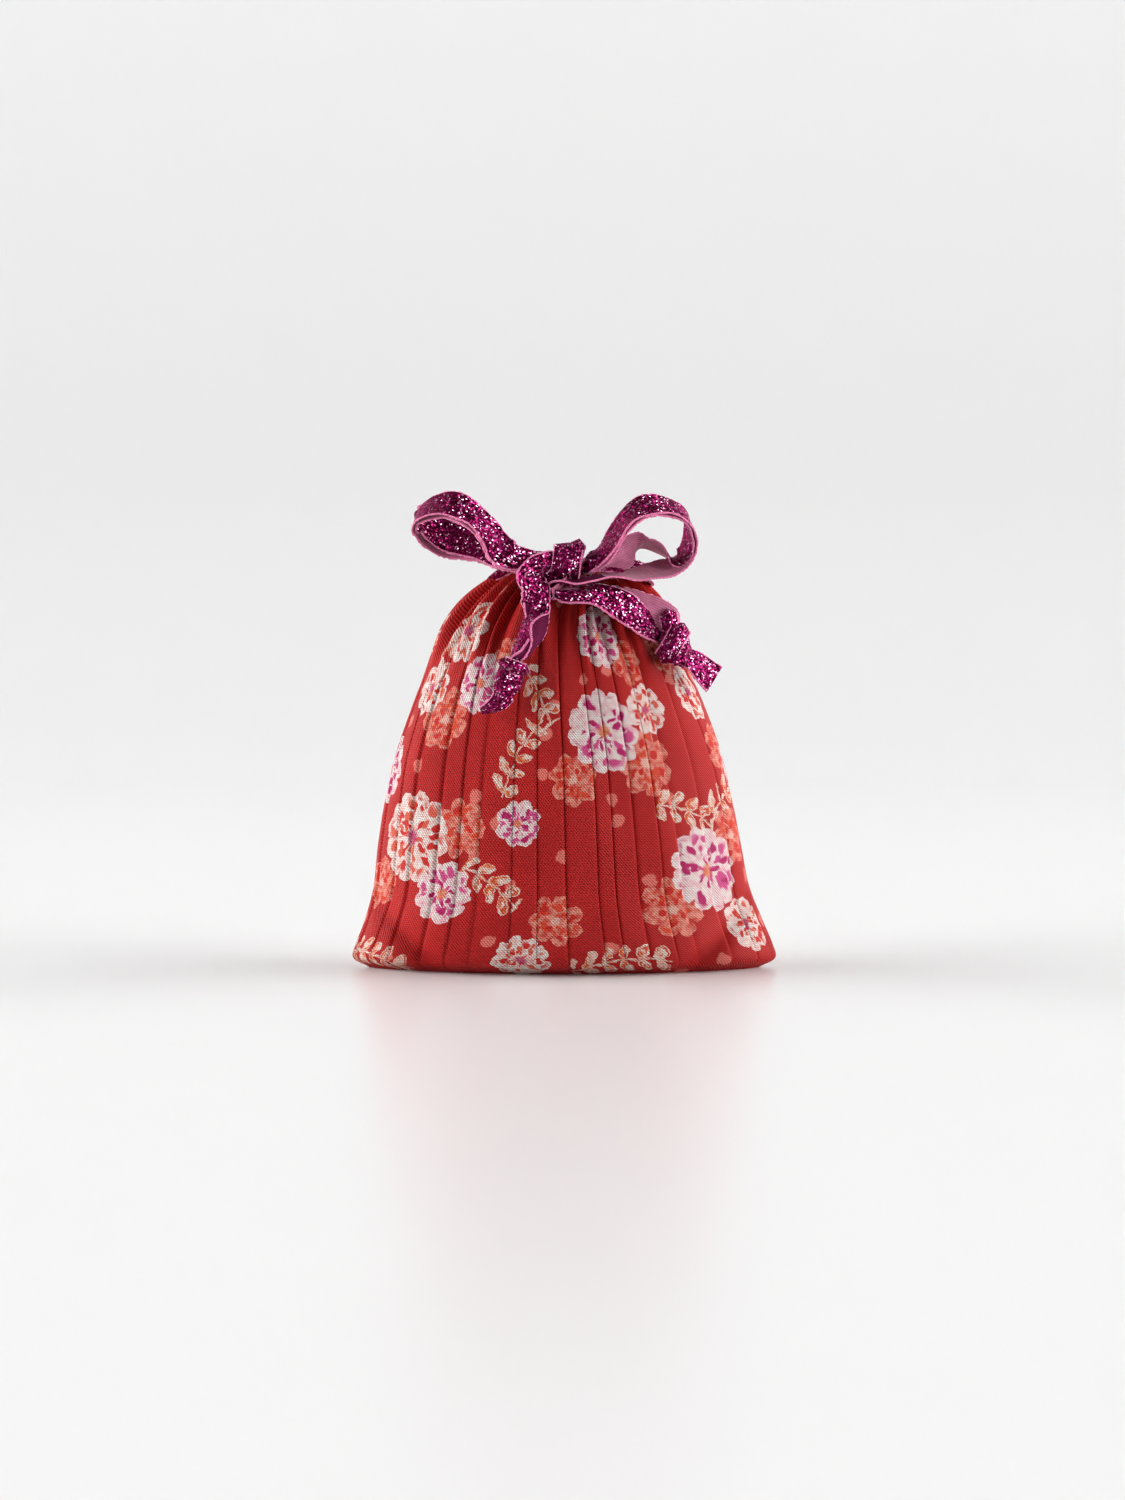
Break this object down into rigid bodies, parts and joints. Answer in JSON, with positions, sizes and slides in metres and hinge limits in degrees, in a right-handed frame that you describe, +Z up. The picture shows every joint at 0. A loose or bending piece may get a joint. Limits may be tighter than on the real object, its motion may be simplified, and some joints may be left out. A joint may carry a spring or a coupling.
{
  "type": "kinchaku drawstring pouch",
  "caption": "Small pleated cloth pouch drawn shut at a gathered neck, with flared base corners and two glitter ribbons tied in one bow at the front.",
  "frame": {"origin": "on the floor, under the middle of the pouch's flat foot", "axes": "+Z up, -Y towards the front where the bow sits, +X to the right seen from the front"},
  "size_m": [0.1571, 0.0882, 0.1757],
  "materials": {
    "cloth": "pleated red crepe satin with a printed pattern of pale blossoms",
    "ribbon": "magenta glitter velvet on the face, plain ribbed back, pink selvedges"
  },
  "bodies": {
    "root": {"pouch_body": "cloth", "drawstring_ribbon_left": "ribbon", "drawstring_ribbon_right": "ribbon"}
  },
  "joints": []
}
